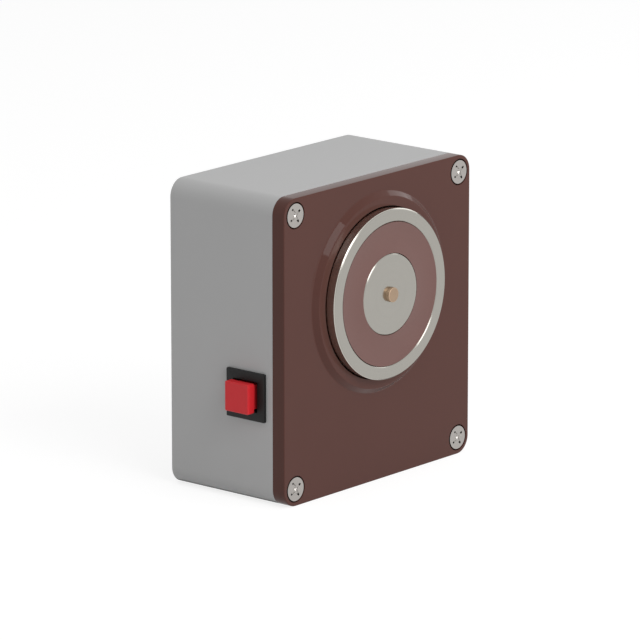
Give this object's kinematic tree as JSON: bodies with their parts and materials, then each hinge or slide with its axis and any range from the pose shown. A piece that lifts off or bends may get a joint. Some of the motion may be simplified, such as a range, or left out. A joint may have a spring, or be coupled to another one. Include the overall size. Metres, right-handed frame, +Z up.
{
  "type": "electromagnetic door holder",
  "caption": "Wall box with a round electromagnet that holds a fire door open, a spring ejector pin, and a push button on its side that lets the door go",
  "frame": {"origin": "middle of the flat back face that lies on the wall", "axes": "+Y points into the wall and the magnet faces -Y, +Z is up, and the button is on the -X side"},
  "size_m": [0.1058, 0.0582, 0.108],
  "materials": {
    "grey_plastic": "fine satin moulding, light grey",
    "brown_plastic": "semi-gloss moulding, reddish brown",
    "zinc_steel": "bright zinc plated",
    "magnet_steel": "turned and plated, satin",
    "potting_resin": "cast resin, reddish brown",
    "copper_alloy": "turned bronze",
    "brass": "machined brass",
    "black_plastic": "black moulding",
    "red_plastic": "red moulding, semi-gloss",
    "natural_nylon": "natural white nylon",
    "magnet_wire": "enamelled copper winding",
    "spring_steel": "drawn spring wire",
    "oxide_steel": "black oxide",
    "black_rubber": "moulded rubber",
    "white_insulation": "white wire insulation",
    "blue_insulation": "blue wire insulation",
    "diode_resin": "moulded diode body"
  },
  "bodies": {
    "holder": {"housing": "grey_plastic", "front_cover": "brown_plastic", "magnet_pot": "magnet_steel", "potting_ring": "potting_resin", "coil_bobbin": "natural_nylon", "coil_winding": "magnet_wire", "ejector_spring": "spring_steel", "magnet_screw": "oxide_steel", "magnet_washer": "zinc_steel", "cable_grommet": "black_rubber", "switch_body": "black_plastic", "button_spring": "spring_steel", "terminal_strip": "natural_nylon", "suppressor_diode": "diode_resin", "cover_screw_1": "zinc_steel", "threaded_insert_1": "brass", "terminal_tube_1": "brass", "cover_screw_2": "zinc_steel", "threaded_insert_2": "brass", "terminal_tube_2": "brass", "cover_screw_3": "zinc_steel", "threaded_insert_3": "brass", "terminal_tube_3": "brass", "cover_screw_4": "zinc_steel", "threaded_insert_4": "brass", "terminal_tube_4": "brass", "terminal_screw_1": "zinc_steel", "terminal_screw_2": "zinc_steel", "terminal_screw_3": "zinc_steel", "terminal_screw_4": "zinc_steel", "terminal_screw_5": "zinc_steel", "terminal_screw_6": "zinc_steel", "terminal_screw_7": "zinc_steel", "terminal_screw_8": "zinc_steel", "strip_screw_1": "zinc_steel", "switch_terminal_1": "brass", "coil_lead_1": "white_insulation", "switch_lead_1": "blue_insulation", "strip_screw_2": "zinc_steel", "switch_terminal_2": "brass", "coil_lead_2": "white_insulation", "switch_lead_2": "blue_insulation"},
    "button": {"button_cap": "red_plastic", "button_plunger": "natural_nylon", "contact_bridge": "brass"},
    "ejector": {"ejector_pin": "copper_alloy"}
  },
  "joints": [
    {"name": "button_press", "type": "slide", "parent": "holder", "child": "button", "axis": [1, 0, 0], "range_m": [0, 0.003], "stiffness_N_per_m": 600, "springref_m": -0.002, "deforming": ["button_spring"]},
    {"name": "ejector_press", "type": "slide", "parent": "holder", "child": "ejector", "axis": [0, 1, 0], "range_m": [0, 0.0015], "stiffness_N_per_m": 2000, "springref_m": -0.003, "deforming": ["ejector_spring"]}
  ]
}
